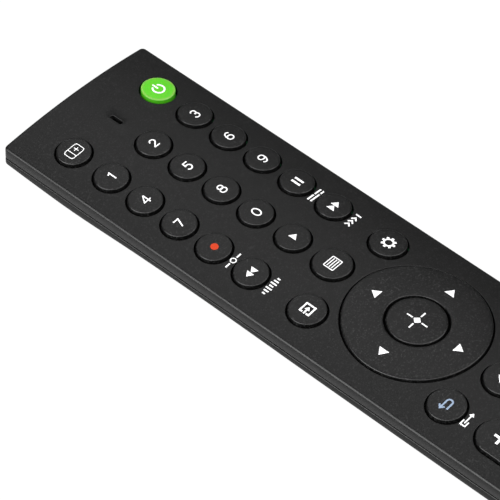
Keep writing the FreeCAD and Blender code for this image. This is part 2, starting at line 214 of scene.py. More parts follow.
def painted(piece, finish):
    """Gives a piece its one material."""
    piece.data.materials.clear()
    piece.data.materials.append(finish.material)


def dressed(piece, body, finish, *nodes):
    """Shades a piece, gives it its finish, and sets it on its body in place of its CAD nodes."""
    for face in piece.data.polygons:
        face.use_smooth = True
    piece.data.set_sharp_from_angle(angle=smooth_angle)
    painted(piece, finish)
    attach(piece, body)
    if nodes:
        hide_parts(*nodes)


class Signal:
    """A socket's value in a material. Each operator adds the Math node that it stands for."""

    def __init__(self, tree, socket):
        self.tree = tree
        self.socket = socket

    def maths(self, operation, *terms):
        node = self.tree.nodes.new("ShaderNodeMath")
        node.operation = operation
        for entry, term in zip(node.inputs, terms):
            if isinstance(term, Signal):
                self.tree.links.new(term.socket, entry)
            else:
                entry.default_value = term
        return Signal(self.tree, node.outputs[0])

    def __add__(self, other):
        return self.maths("ADD", self, other)

    def __mul__(self, other):
        return self.maths("MULTIPLY", self, other)

    def __sub__(self, other):
        return self.maths("SUBTRACT", self, other)

    def __rsub__(self, other):
        return self.maths("SUBTRACT", other, self)

    __radd__ = __add__


class Finish:
    """A material, with the slot that it stands for and the steady values of its shader."""

    def __init__(self, name, slot=None, **steady):
        self.slot = slot
        self.material = bpy.data.materials.new(name)
        self.material.use_nodes = True
        self.tree = self.material.node_tree
        self.shader = self.tree.nodes["Principled BSDF"]
        self.feed(**steady)

    def plug(self, node, sockets):
        for name, value in sockets.items():
            entry = node.inputs[name]
            if isinstance(value, Signal):
                self.tree.links.new(value.socket, entry)
            elif entry.type == "RGBA" and len(value) == 3:
                entry.default_value = (*value, 1)
            else:
                entry.default_value = value

    def node(self, kind, settings, sockets, out=0):
        """Adds a node: its settings first, and then the values or links of its sockets."""
        node = self.tree.nodes.new(kind)
        for name, value in settings.items():
            setattr(node, name, value)
        self.plug(node, sockets)
        return Signal(self.tree, node.outputs[out])

    def feed(self, **sockets):
        self.plug(self.shader, {name.replace("_", " "): value for name, value in sockets.items()})

    def place(self):
        """The place on the remote, in metres."""
        return self.node("ShaderNodeTexCoord", {}, {}, "Object")

    def noise(self, scale, detail=2.0):
        """A noise from 0 to 1, whose grain is about a metre over the scale."""
        return self.node("ShaderNodeTexNoise", {}, {"Vector": self.place(), "Scale": scale, "Detail": detail})

    def blend(self, low, high, share):
        """A colour between two colours."""
        return self.node("ShaderNodeMix", {"data_type": "RGBA"}, {0: share, 6: low, 7: high}, 2)

    def step(self, value, low, high):
        """A smooth step from 0 to 1 as a value goes from low to high."""
        return self.node("ShaderNodeMapRange", {"interpolation_type": "SMOOTHSTEP"},
                         {"Value": value, "From Min": low, "From Max": high})

    def bump(self, height, depth):
        """Raises the surface by a height from 0 to 1, times a depth in millimetres."""
        sockets = {"Height": height, "Distance": depth * metre, "Strength": 1.0}
        self.feed(Normal=self.node("ShaderNodeBump", {}, sockets))


def moulded(name, slot, dark, light, speck, roughness, depth):
    """Spark-eroded moulded plastic: a fine grain, paler specks and a faint cloudiness in its sheen."""
    finish = Finish(name, slot, Specular_IOR_Level=plastic_shine)
    pits = finish.step(finish.noise(1 / (grain_size * metre)), *pit_range)
    specks = finish.step(finish.noise(1 / (speck * metre)), *speck_range)
    cloud = finish.noise(cloud_scale, detail=3.0)
    finish.feed(Base_Color=finish.blend(dark, light, specks),
                Roughness=roughness + pits * pit_roughness + cloud * cloud_roughness)
    finish.bump(pits, depth)
    return finish


def grained(name, dark, light, scale, roughness, spread=0.0, **steady):
    """A material whose colour follows a fine noise, as its roughness does over a spread."""
    finish = Finish(name, **steady)
    grain = finish.noise(scale)
    finish.feed(Base_Color=finish.blend(dark, light, grain),
                Roughness=roughness + grain * spread if spread else roughness)
    return finish


case_plastic = moulded("case_plastic", "case_plastic", case_black, case_speck, speck_size, case_roughness,
                       pit_depth)
inside_plastic = moulded("inside_plastic", "case_plastic", inside_black, inside_speck, inside_speck_size,
                         inside_roughness, inside_pit_depth)


def outline(inset=0.0, head=0.0, tail=0.0, side=0.0, radius=corner_radius):
    """The plan outline as a list of x and y, drawn in all round, and further at each end and side."""
    x = half_width - inset - side
    y1 = half_length - inset - head
    y0 = inset + tail - half_length
    radius = max(radius - inset, least_corner)
    corners = ((x - radius, y1 - radius), (radius - x, y1 - radius),
               (radius - x, y0 + radius), (x - radius, y0 + radius))
    points = []
    for turn, (cx, cy) in enumerate(corners):
        for i in range(corner_steps + 1):
            angle = pi / 2 * (turn + i / corner_steps)
            points.append((cx + radius * cos(angle), cy + radius * sin(angle)))
        nx, ny = corners[(turn + 1) % 4]
        after = pi / 2 * (turn + 1)
        goal = (nx + radius * cos(after), ny + radius * sin(after))
        last = points[-1]
        steps = side_steps if turn % 2 else end_steps
        for i in range(1, steps):
            share = i / steps
            points.append((last[0] + share * (goal[0] - last[0]), last[1] + share * (goal[1] - last[1])))
    return points


def along(table, at):
    """A smooth line through a table of places and values."""
    places = [place for place, _ in table]
    i = max(1, min(len(table) - 3, sum(place <= at for place in places) - 1))
    (x0, v0), (x1, v1), (x2, v2), (x3, v3) = table[i - 1:i + 3]
    span = x2 - x1
    t = (at - x1) / span
    first = (v2 - v0) / (x2 - x0) * span
    last = (v3 - v1) / (x3 - x1) * span
    return ((2 * t ** 3 - 3 * t ** 2 + 1) * v1 + (t ** 3 - 2 * t ** 2 + t) * first
            + (3 * t ** 2 - 2 * t ** 3) * v2 + (t ** 3 - t ** 2) * last)


def chine(y):
    """The chine's height at a place along the remote."""
    return seam_height - along(chine_line, half_length - y)


def level(height, inset=0.0):
    """The outline at one height."""
    return [(x, y, height) for x, y in outline(inset)]


def flank(share, inset=0.0):
    """The loop at a share of the way from the belly's edge, 0, to the chine, 1."""
    fall = 1 - share
    edge = outline(inset, fall * head_flank, fall * tail_flank, fall * (half_width - belly_half_width),
                   corner_radius - belly_corner_loss * fall)
    return [(x, y, share * chine(y)) for x, y in edge]


def eased_rim(height, way):
    """The loops round an eased edge, from a flat rim to the wall over it, 1, or under it, -1."""
    return [level(height, edge_rounding),
            level(height + way * edge_rounding * edge_along, edge_rounding * edge_in),
            level(height + way * edge_rounding)]


def hull_loops():
    """The hull's outer loops, from the seam down to the belly's flat."""
    loops = eased_rim(seam_height, -1)
    loops.append([(x, y, chine(y) + chine_rounding) for x, y in outline()])
    turn = chine_rounding / flank_length
    loops.append([(x, y, chine(y) + chine_rounding * chine_over) for x, y in outline(chine_inset)])
    loops += [flank(1 - chine_under * turn, chine_inset), flank(1 - chine_foot * turn)]
    loops += [flank(share) for share in flank_shares]
    radius = belly_rounding / tan(flank_slope / 2)
    side = half_width - belly_half_width
    for i in range(belly_steps + 1):
        angle = flank_slope * (1 - i / belly_steps)
        run = belly_rounding - radius * sin(angle)
        head_run, tail_run = (run * head_flank / side, run * tail_flank / side) if run < 0 else (run, run)
        edge = outline(0, head_flank + head_run, tail_flank + tail_run, side + run,
                       corner_radius - belly_corner_loss)
        loops.append([(x, y, radius * (1 - cos(angle))) for x, y in edge])
    return loops


def inner_loops(depth, *tops):
    """The hull's loops at a depth under its skin: the floor's edge, the chine, and the given heights."""
    corner = depth * tan(flank_slope / 2)
    floor = outline(0, head_flank + corner, tail_flank + depth * tan(tail_slope / 2),
                    half_width - belly_half_width + corner)
    turn = depth * tan((pi / 2 - flank_slope) / 2)
    return ([[(x, y, depth) for x, y in floor], [(x, y, chine(y) + turn) for x, y in outline(depth)]]
            + [level(top, depth) for top in tops])


def bare_hull(name):
    """The outer skin of the whole hull, before the battery cover is parted from it."""
    skin = Skin()
    groove_top = seam_height + seam_gap - groove_clearance
    rim = [level(seam_height - groove_foot, works_depth + works_overlap),
           level(groove_top, works_depth - works_overlap), level(groove_top, groove_depth),
           level(seam_height, groove_depth)]
    skin.loft(inner_loops(skin_depth, seam_height - skin_top_drop) + rim + hull_loops())
    return skin.object(name)


def works(node, name):
    """What a packed shell has inside its skin: its ribs, walls, posts, rails, tongues and lip."""
    piece = placed(bpy.data.objects.new(name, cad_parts[node].data.copy()))
    mended(piece.data, lambda shell: bmesh.ops.remove_doubles(shell, verts=shell.verts,
                                                              dist=weld_distance * metre))
    core = Skin()
    core.loft(inner_loops(works_depth, seam_height, case_high.z + cutter_room))
    return carved(piece, core.object("core"), "INTERSECT")


def box_cutter(x0, x1, y0, y1, z0, z1):
    """A block to cut with."""
    skin = Skin()
    skin.block(x0, x1, y0, y1, z0, z1)
    return skin.object("cutter")


overcut = 5.0
part_gap = 0.15
part_step = 0.01
latch_length = 1.2
_, cover_high = node_corners("battery_cover")
cover_front = cover_high.y - latch_length
cover_top = cover_high.z + part_gap


def cover_space(gap):
    """The space that the battery cover takes from the hull."""
    return box_cutter(-half_width - overcut, half_width + overcut, -half_length - overcut,
                      cover_front - gap, -overcut, cover_top - gap)


window_fit = 0.05
window_flange = 1.0
window_flange_rise = 0.5
window_low, window_high = node_corners("infrared_window")
window_half = window_high.x - window_flange


def window_notch():
    """The notch in the head wall for the infrared window."""
    reach = window_half + window_fit
    return box_cutter(-reach, reach, half_length - wall - cutter_room, half_length + overcut,
                      window_low.z - window_fit, window_high.z - window_flange_rise + window_fit)


lower_shell = carved(carved(bare_hull("lower_shell"), cover_space(part_step)), window_notch())
dressed(lower_shell, "root", case_plastic, "lower_case")
dressed(works("lower_case", "lower_shell_works"), "root", inside_plastic)

# Battery contacts
# Nickel-plated spring strip: a bridge at the tail and two plates at the front of the bay. A cell's
# flat end is met by a coned coil of spring wire.
strip = 0.4
strip_rounding = 0.12
wire_gauge = 0.55
wire_sides = 8
coil_turns = 4
coil_steps = 22
coil_base = 3.3
coil_tip = 2.0
nickel_dark = (0.56, 0.54, 0.5)
nickel_light = (0.68, 0.66, 0.62)

nickel = grained("nickel", nickel_dark, nickel_light, scale=900.0, roughness=0.24, spread=0.14,
                 slot="contact_nickel", Metallic=1.0)


def coil(skin, x, y, z, direction, length):
    """A coned coil of wire that stands off a plate."""
    loops = []
    steps = coil_turns * coil_steps
    for i in range(steps + 1):
        share = i / steps
        angle = 2 * pi * coil_turns * share
        radius = coil_base + (coil_tip - coil_base) * share
        out = Vector((cos(angle), 0, sin(angle)))
        round_axis = Vector((-sin(angle), 0, cos(angle)))
        heading = round_axis * (2 * pi * coil_turns * radius) + Vector((0, direction * length, 0))
        across = heading.normalized().cross(out)
        middle = Vector((x, y + direction * length * share, z)) + out * radius
        loops.append([middle + (out * cos(turn) + across * sin(turn)) * (wire_gauge / 2)
                      for turn in (2 * pi * k / wire_sides for k in range(wire_sides))])
    skin.loft(loops)


for node, cell, direction in (("bridge_contact", "battery_left", 1),
                              ("negative_contact", "battery_right", -1)):
    low, high = node_corners(node)
    plate = (low.y, low.y + strip) if direction > 0 else (high.y - strip, high.y)
    skin = Skin()
    skin.block(low.x, high.x, *plate, low.z, high.z)
    contact = eased(skin.object(node + "_strip"), strip_rounding)
    dressed(contact, "root", nickel, node)
    cell_low, cell_high = node_corners(cell)
    face = plate[1] if direction > 0 else plate[0]
    skin = Skin()
    coil(skin, (cell_low.x + cell_high.x) / 2, face + direction * wire_gauge / 2, (low.z + high.z) / 2,
         direction, high.y - low.y - strip - wire_gauge)
    dressed(skin.object(node + "_coil"), "root", nickel)
painted(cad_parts["positive_contact"], nickel)

# Cells
# Two small cells that lie side by side, head to tail, in the bay under the cover. Each has a printed
# sleeve over its metal can, which is bare at both ends.
cell_end = 1.6
cell_button = 1.0
cell_band = 11.0
sleeve_edge = 0.05
band_edge = 0.1
sleeve_blue = (0.012, 0.02, 0.05)
sleeve_amber = (0.55, 0.25, 0.05)
can_grey = (0.6, 0.6, 0.6)
for node, raised in (("battery_left", 1), ("battery_right", -1)):
    low, high = node_corners(node)
    sleeve = Finish(node + "_sleeve")
    y = sleeve.node("ShaderNodeSeparateXYZ", {}, {0: sleeve.place()}, "Y")
    along_cell = (y - (low.y if raised > 0 else high.y) * metre) * float(raised)
    span = high.y - low.y
    grain = sleeve.noise(500.0)
    sleeve_end = span - cell_end - cell_button
    covered = sleeve.step(along_cell, (cell_end - sleeve_edge) * metre, cell_end * metre)
    bare = 1 - covered * (1 - sleeve.step(along_cell, (sleeve_end - sleeve_edge) * metre, sleeve_end * metre))
    band = sleeve.step(along_cell, (span - cell_band - band_edge) * metre, (span - cell_band) * metre)
    print_colour = sleeve.blend(sleeve_blue, sleeve_amber, band)
    sleeve.feed(Base_Color=sleeve.blend(print_colour, can_grey, bare), Metallic=bare,
                Roughness=0.28 + grain * 0.08)
    painted(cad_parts[node], sleeve)

# Circuit board, what is soldered to it, and the infrared window
# A green board with its chip, resonator, capacitor, microphone and diode, all sealed in the case,
# and a window of dark red plastic in the head wall, which only infrared light passes.
plain_finishes = {
    "circuit_board": ((0.02, 0.13, 0.05), (0.03, 0.18, 0.08), 0.4, 0.0),
    "controller_chip": ((0.012, 0.012, 0.012), (0.02, 0.02, 0.02), 0.6, 0.0),
    "resonator": ((0.6, 0.6, 0.6), (0.7, 0.7, 0.7), 0.3, 1.0),
    "capacitor": ((0.02, 0.02, 0.05), (0.03, 0.03, 0.07), 0.35, 0.0),
    "microphone": ((0.6, 0.6, 0.6), (0.7, 0.7, 0.7), 0.35, 1.0),
    "infrared_diode": ((0.3, 0.32, 0.36), (0.36, 0.38, 0.42), 0.15, 0.0),
    "infrared_window": ((0.006, 0.0012, 0.0015), (0.01, 0.002, 0.0025), 0.08, 0.0),
}
for node, (dark, light, roughness, metallic) in plain_finishes.items():
    painted(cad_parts[node], grained(node + "_finish", dark, light, scale=700.0, roughness=roughness,
                                          spread=0.06, Metallic=metallic))

# Keypad mat
# One sheet of black silicone over the whole board, which springs the keys back. It is what shows as
# black in the gaps round them.
silicone_dark = (0.002, 0.002, 0.002)
silicone_light = (0.004, 0.004, 0.004)

silicone = grained("silicone", silicone_dark, silicone_light, scale=900.0, roughness=0.8,
                   Specular_IOR_Level=0.15)
for node in ("keypad_mat", "nav_web"):
    painted(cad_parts[node], silicone)

# Upper shell
# One moulding with a crowned face, a softly rounded top edge and an opening for every key. The
# openings' rims are eased, so that each catches a thin line of light.
_, upper_high = node_corners("upper_case")
case_height = upper_high.z
upper_base = seam_height + seam_gap
crown_radius = 176.0
face_thickness = 1.5
face_margin = 2.0
top_rounding = 0.55
edge_turns = 6
rim_rounding = 0.12
rim_turns = 4
rim_support = 0.1
opening_steps = 72
straight_step = 1.5
face_grid = 3.0
face_room = 1.0
key_gap = 0.43
rocker_gap = 0.42
ring_gap = 0.38
slot_width = 1.05
slot_length = 3.5
slot_collar = 0.45
collar_rise = 0.1
collar_profile = ((0.6, 0.6), (0.25, 1.0))
rebate = 0.5
rebate_room = 0.1
fill_slack = 1e-5


def crown(x):
    """The height of the crowned face at x."""
    return case_height - crown_radius + sqrt(crown_radius ** 2 - x ** 2)


def rounding(radius, turns):
    """The steps of a quarter turn from a flat top into an upright wall, as insets and drops."""
    angles = [pi / 2 * i / turns for i in range(turns + 1)]
    return [(radius * (1 - sin(angle)), radius * (1 - cos(angle))) for angle in angles]


def opening(x, y, radius, span=0.0, steps=opening_steps):
    """A round loop, or a pill's where its two ends lie a span apart."""
    points = []
    half = steps // 2
    for end, cy, side in ((0, y + span / 2, 1), (1, y - span / 2, -1)):
        for i in range(half + (1 if span else 0)):
            angle = pi * (end + i / half)
            points.append((x + radius * cos(angle), cy + radius * sin(angle)))
        if span:
            count = max(2, round(span / straight_step))
            points += [(x - side * radius, cy - side * span * i / count) for i in range(1, count)]
    return points


def node_place(node):
    """The middle of a CAD node in plan, its half width and its half length."""
    low, high = node_corners(node)
    return (low.x + high.x) / 2, (low.y + high.y) / 2, (high.x - low.x) / 2, (high.y - low.y) / 2


round_keys = [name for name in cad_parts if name.startswith("key_") and name != "key_ok"]
rockers = ["rocker_volume", "rocker_programme"]
apertures = []
for name in round_keys:
    x, y, radius, _ = node_place(name)
    apertures.append((x, y, radius + key_gap, 0.0, 0.0))
for name in rockers:
    x, y, radius, reach = node_place(name)
    apertures.append((x, y, radius + rocker_gap, 2 * (reach - radius), 0.0))
ring_x, ring_y, ring_radius, _ = node_place("nav_ring")
apertures.append((ring_x, ring_y, ring_radius + ring_gap, 0.0, 0.0))
slot_x, slot_y, _, _ = node_place("microphone")
apertures.append((slot_x, slot_y, slot_width / 2, slot_length - slot_width, slot_collar))


def turned(line):
    """The closed line, counterclockwise."""
    area = sum(a[0] * b[1] - b[0] * a[1] for a, b in zip(line, line[1:] + line[:1]))
    return line if area > 0 else line[::-1]


def filled(groups, spares):
    """Triangles over groups of filled lines with holes, with spare points to follow a curve.

    A hole only opens its own group's lines. It gives the points, the triangles, and each line as a
    list of point numbers.
    """
    points, polygons, roles, lines = [], [], [], []
    for group, (fills, holes) in enumerate(groups):
        for i, line in enumerate(fills + holes):
            polygons.append(list(range(len(points), len(points) + len(line))))
            points += [Vector(point) for point in turned(line)]
            roles.append((group, i < len(fills)))
            lines.append(line)
    points += [Vector(point) for point in spares]
    made, _, triangles, sources, _, insides = delaunay_2d_cdt(points, [], polygons, 1, fill_slack)
    kept = []
    for triangle, inside in zip(triangles, insides):
        solid = {roles[i][0] for i in inside if roles[i][1]}
        if solid - {roles[i][0] for i in inside if not roles[i][1]}:
            kept.append(tuple(triangle))
    number = {old: new for new, source in enumerate(sources) for old in source}
    borders = []
    for line, polygon in zip(lines, polygons):
        order = [number[old] for old in polygon]
        borders.append(order if turned(line) is line else order[::-1])
    return [(point.x, point.y) for point in made], kept, borders


def clear_of_apertures(x, y):
    """Whether a place on the face has room between it and every opening."""
    return all(hypot(x - cx, max(abs(y - cy) - span / 2, 0.0)) > radius + collar + face_room
               for cx, cy, radius, span, collar in apertures)


columns = int((half_width - face_margin) / face_grid)
rows = int((half_length - face_margin) / face_grid)
grid = [(i * face_grid, j * face_grid) for i in range(-columns, columns + 1) for j in range(-rows, rows + 1)]
grid = [(x, y) for x, y in grid if clear_of_apertures(x, y)]
holes = [opening(x, y, r + rim_rounding + rim_support + collar, span) for x, y, r, span, collar in apertures]
plan, triangles, borders = filled([([outline(face_margin)], holes)], grid)

skin = Skin()
top = skin.add([(x, y, crown(x)) for x, y in plan])
under = skin.add([(x, y, crown(x) - face_thickness) for x, y in plan])
skin.faces += [tuple(top[i] for i in triangle) for triangle in triangles]
skin.faces += [tuple(under[i] for i in reversed(triangle)) for triangle in triangles]
for (x, y, radius, span, collar), border in zip(apertures, borders[1:]):
    rims = []
    rise = collar_rise if collar else 0.0
    for share, lift in collar_profile if collar else ():
        rims.append([(px, py, crown(px) + rise * lift)
                     for px, py in opening(x, y, radius + rim_rounding + collar * share, span)])
    for inset, drop in rounding(rim_rounding, rim_turns):
        rims.append([(px, py, crown(px) - (drop - rise)) for px, py in opening(x, y, radius + inset, span)])
    rims.append([(px, py, crown(px) - face_thickness) for px, py in opening(x, y, radius, span)])
    skin.sew([[top[i] for i in border], *[skin.add(rim) for rim in rims], [under[i] for i in border]])
edge = [[(x, y, crown(x)) for x, y in outline(top_rounding + rim_support)]]
for inset, drop in rounding(top_rounding, edge_turns):
    edge.append([(x, y, crown(x) - drop) for x, y in outline(inset)])
rebate_top = case_high.z + rebate_room
edge += eased_rim(upper_base, 1)[::-1]
edge += [level(upper_base, rebate), level(rebate_top, rebate), level(rebate_top, wall),
         [(x, y, crown(x) - face_thickness) for x, y in outline(wall)]]
skin.sew([[top[i] for i in borders[0]], *[skin.add(loop) for loop in edge], [under[i] for i in borders[0]]])
upper_shell = carved(skin.object("upper_shell"), window_notch())
dressed(upper_shell, "root", case_plastic, "upper_case")

# Round keys
# Separate caps of the same plastic, each an upright drum with a rounded shoulder and a low dome that
# leans with the crowned face. Digits and signs are pad-printed on them, with a red dot for recording.
key_low, _ = node_corners("key_2")
key_base = key_low.z
rim_height = 0.46
shoulder_width = 0.3
shoulder_height = 0.22
dome_height = 0.07
shoulder_steps = 8
dome_steps = 8
key_steps = 72
print_shift = (-0.07, -0.15)
ink_lift = 0.025
ink_sink = 0.06
ink_grid = 0.55
ink_grid_start = (0.37, 0.41)
mitre_limit = 0.5
key_roughness = 0.31
key_pit_depth = 0.006
key_black = (0.0006, 0.0006, 0.0006)
key_speck = (0.0109, 0.0109, 0.0109)
white_inks = ((0.39, 0.39, 0.39), (0.45, 0.45, 0.45))
red_inks = ((0.21, 0.0145, 0.0015), (0.24, 0.0175, 0.0022))
blue_inks = ((0.1, 0.13, 0.177), (0.123, 0.157, 0.21))

key_plastic = moulded("key_plastic", "key_plastic", key_black, key_speck, speck_size, key_roughness,
                      key_pit_depth)


def ink(colour, dark, light):
    """Pad-printing ink, with a faint unevenness."""
    return grained(colour + "_ink", dark, light, scale=1500.0, roughness=0.6, slot=colour + "_print",
                   Specular_IOR_Level=0.2)


white_ink = ink("white", *white_inks)
red_ink = ink("red", *red_inks)
blue_ink = ink("blue", *blue_inks)


def cap_surface(cx, cy, radius, span=0.0, rim=rim_height, width=shoulder_width, rise=shoulder_height,
                dome=dome_height):
    """The height of a cap's top at any place, for its own skin and for what is printed on it.

    The rim stands over the face, the shoulder rises from it over a width, and the dome adds its own.
    """
    slope = -cx / sqrt(crown_radius ** 2 - cx ** 2)

    def height(x, y):
        away = min(radius, hypot(x - cx, max(abs(y - cy) - span / 2, 0.0)))
        turn = max(0.0, 1 - (radius - away) / width)
        return (crown(cx) + slope * (x - cx) + (rim + rise * sqrt(1 - turn ** 2))
                + dome * (1 - (away / radius) ** 2))
    return height


def cap(name, surface, cx, cy, radius, span=0.0, shoulder=shoulder_width, rings=dome_steps, steps=key_steps):
    """The skin of a round or pill-shaped cap under its top surface."""
    skin = Skin()
    insets = [drop for _, drop in rounding(shoulder, shoulder_steps)]
    insets += [shoulder + (radius - shoulder) * i / rings for i in range(1, rings)]
    loops = [[(x, y, key_base) for x, y in opening(cx, cy, radius, span, steps)]]
    for inset in insets:
        loops.append([(x, y, surface(x, y)) for x, y in opening(cx, cy, radius - inset, span, steps)])
    lines = skin.loft(loops, last_cap=bool(span))
    if not span:
        skin.crown(lines[-1], (cx, cy, surface(cx, cy)))
    return skin.object(name)


def arc(cx, cy, rx, ry, start, end, steps=20):
    """Points along an ellipse's arc, its angles in degrees."""
    turns = [radians(start + (end - start) * i / steps) for i in range(steps + 1)]
    return [(cx + rx * cos(turn), cy + ry * sin(turn)) for turn in turns]


def disc(cx, cy, radius, ry=None, steps=28):
    """A closed round line."""
    return arc(cx, cy, radius, ry or radius, 0, 360, steps)[:-1]


def rounded(cx, cy, x, y, radius, steps):
    """A closed rounded rectangle, from its middle, half sizes, corner radius and steps at a corner."""
    line = []
    for turn, (side_x, side_y) in enumerate(((1, 1), (-1, 1), (-1, -1), (1, -1))):
        line += arc(cx + side_x * (x - radius), cy + side_y * (y - radius), radius, radius,
                    90 * turn, 90 * turn + 90, steps)
    return line


def pen(points, width, steps=0):
    """The outline of a stroke of even width, with square ends or, given steps, with round ones."""
    line = [Vector(point) for point in points]
    if not steps:
        line[0] += (line[0] - line[1]).normalized() * (width / 2)
        line[-1] += (line[-1] - line[-2]).normalized() * (width / 2)
    sides = []
    for i, point in enumerate(line):
        before = (point - line[i - 1]).normalized() if i else (line[1] - point).normalized()
        after = (line[i + 1] - point).normalized() if i < len(line) - 1 else before
        middle = (before + after).normalized()
        across = Vector((-middle.y, middle.x))
        sides.append(across * (width / 2 / max(mitre_limit, middle.dot(before))))
    left = [point + side for point, side in zip(line, sides)]
    right = [point - side for point, side in zip(line, sides)]
    ends = []
    for point, side in ((line[-1], sides[-1]), (line[0], -sides[0])):
        start = degrees(atan2(side.y, side.x))
        cap_line = arc(point.x, point.y, width / 2, width / 2, start, start - 180, steps or 1)
        ends.append(cap_line[1:-1])
    return [tuple(point) for point in left + ends[0] + right[::-1] + ends[1]]


def strokes(width, *lines, steps=0):
    """Several pen strokes as one sign."""
    return [([pen(line, width, steps) for line in lines], [])]


def shape(*lines):
    """Solid areas as a sign."""
    return [(list(lines), [])]


def band_sign(line_of, width):
    """A closed band of even width, from a function that gives its line for a growth."""
    return [([line_of(width / 2)], [line_of(-width / 2)])]


def ring_sign(cx, cy, rx, ry, width):
    """A printed ring."""
    return band_sign(lambda grow: disc(cx, cy, rx + grow, ry + grow), width)


def printed(name, art, place, surface, body, finish=white_ink):
    """Prints a sign, given as groups of filled lines and holes round the origin, as a skin of ink."""
    cx, cy = place
    xs = [point[0] for fills, _ in art for line in fills for point in line]
    ys = [point[1] for fills, _ in art for line in fills for point in line]
    across, up = (int((max(values) - min(values)) / ink_grid) for values in (xs, ys))
    spares = [(min(xs) + ink_grid * (i + ink_grid_start[0]), min(ys) + ink_grid * (j + ink_grid_start[1]))
              for i in range(across) for j in range(up)]
    made, inked, _ = filled(art, spares)
    used = sorted({i for triangle in inked for i in triangle})
    renumber = {old: new for new, old in enumerate(used)}
    plan = [(made[i][0] + cx, made[i][1] + cy) for i in used]
    skin = Skin()
    top = skin.add([(x, y, surface(x, y) + ink_lift) for x, y in plan])
    under = skin.add([(x, y, surface(x, y) - ink_sink) for x, y in plan])
    rim = set()
    for triangle in inked:
        a, b, c = (renumber[i] for i in triangle)
        skin.faces += [(top[a], top[b], top[c]), (under[c], under[b], under[a])]
        for side in ((a, b), (b, c), (c, a)):
            rim ^= {side} if side[::-1] not in rim else {side[::-1]}
    skin.faces += [(top[b], top[a], under[a], under[b]) for a, b in sorted(rim)]
    dressed(skin.object(name), body, finish)


digit_pen = 0.32
tall = 1.125
curve_six = arc(0.12, -0.2, 0.9, 1.325, 195, 55)
digits = {
    "key_1": strokes(digit_pen, [(-0.24, 0.84), (0.28, tall), (0.28, 0.17 - tall)]),
    "key_2": strokes(digit_pen, arc(0, 0.54, 0.68, 0.62, 165, -32) + [(-0.6, 0.22 - tall)],
                     [(-0.66, 0.09 - tall), (0.66, 0.09 - tall)]),
    "key_3": strokes(digit_pen, arc(-0.08, 0.58, 0.65, 0.58, 148, -84),
                     arc(-0.08, -0.51, 0.76, 0.64, 84, -148)),
    "key_4": strokes(0.3, [(0.3, 1.1), (-0.86, -0.52), (0.92, -0.52)], [(0.4, 0.09 - tall), (0.4, 1.04)]),
    "key_5": strokes(digit_pen, [(0.62, tall), (-0.46, tall), (-0.54, 0.2)],
                     arc(-0.05, -0.43, 0.74, 0.72, 128, -144)),
    "key_6": ring_sign(0, -0.49, 0.81, 0.67, digit_pen) + strokes(digit_pen, curve_six),
    "key_7": strokes(digit_pen, [(-0.74, tall), (0.56, tall), (-0.22, 0.15 - tall)]),
    "key_8": ring_sign(0, 0.57, 0.66, 0.585, digit_pen) + ring_sign(0, -0.51, 0.84, 0.645, digit_pen),
    "key_0": ring_sign(0, 0, 0.85, 1.03 * tall, digit_pen),
}
digits["key_9"] = [tuple([[(-x, -y) for x, y in line] for line in lines] for lines in group)
                   for group in digits["key_6"]]


def arrowhead(cx, cy, length, width, turn=0):
    """A filled triangle that points along a turn in degrees."""
    c, s = cos(radians(turn)), sin(radians(turn))
    corners = [(length / 2, 0), (-length / 2, width / 2), (-length / 2, -width / 2)]
    return shape([(cx + x * c - y * s, cy + x * s + y * c) for x, y in corners])


def frame_sign(x, y, width, radius, least=0.08):
    """A printed rounded frame, whose inner corners keep a least radius."""
    return band_sign(lambda grow: rounded(0, 0, x + grow, y + grow, max(radius + grow, least), 4), width)


def screen_sign(x, y, width, power, steps=56):
    """A printed frame with bowed sides, like an old picture tube, squarer the higher its power."""
    def line(grow):
        points = []
        for i in range(steps):
            c, s = cos(2 * pi * i / steps), sin(2 * pi * i / steps)
            points.append((copysign(abs(c) ** (2 / power), c) * (x + grow),
                           copysign(abs(s) ** (2 / power), s) * (y + grow)))
        return points
    return band_sign(line, width)


def gear(teeth, outer, root, hole):
    """A cog wheel."""
    line = []
    for i in range(teeth):
        for turn, radius in ((-14, root), (-9, outer), (9, outer), (14, root)):
            angle = radians(360 / teeth * i + turn)
            line.append((radius * cos(angle), radius * sin(angle)))
    return [([line], [disc(0, 0, hole)])]


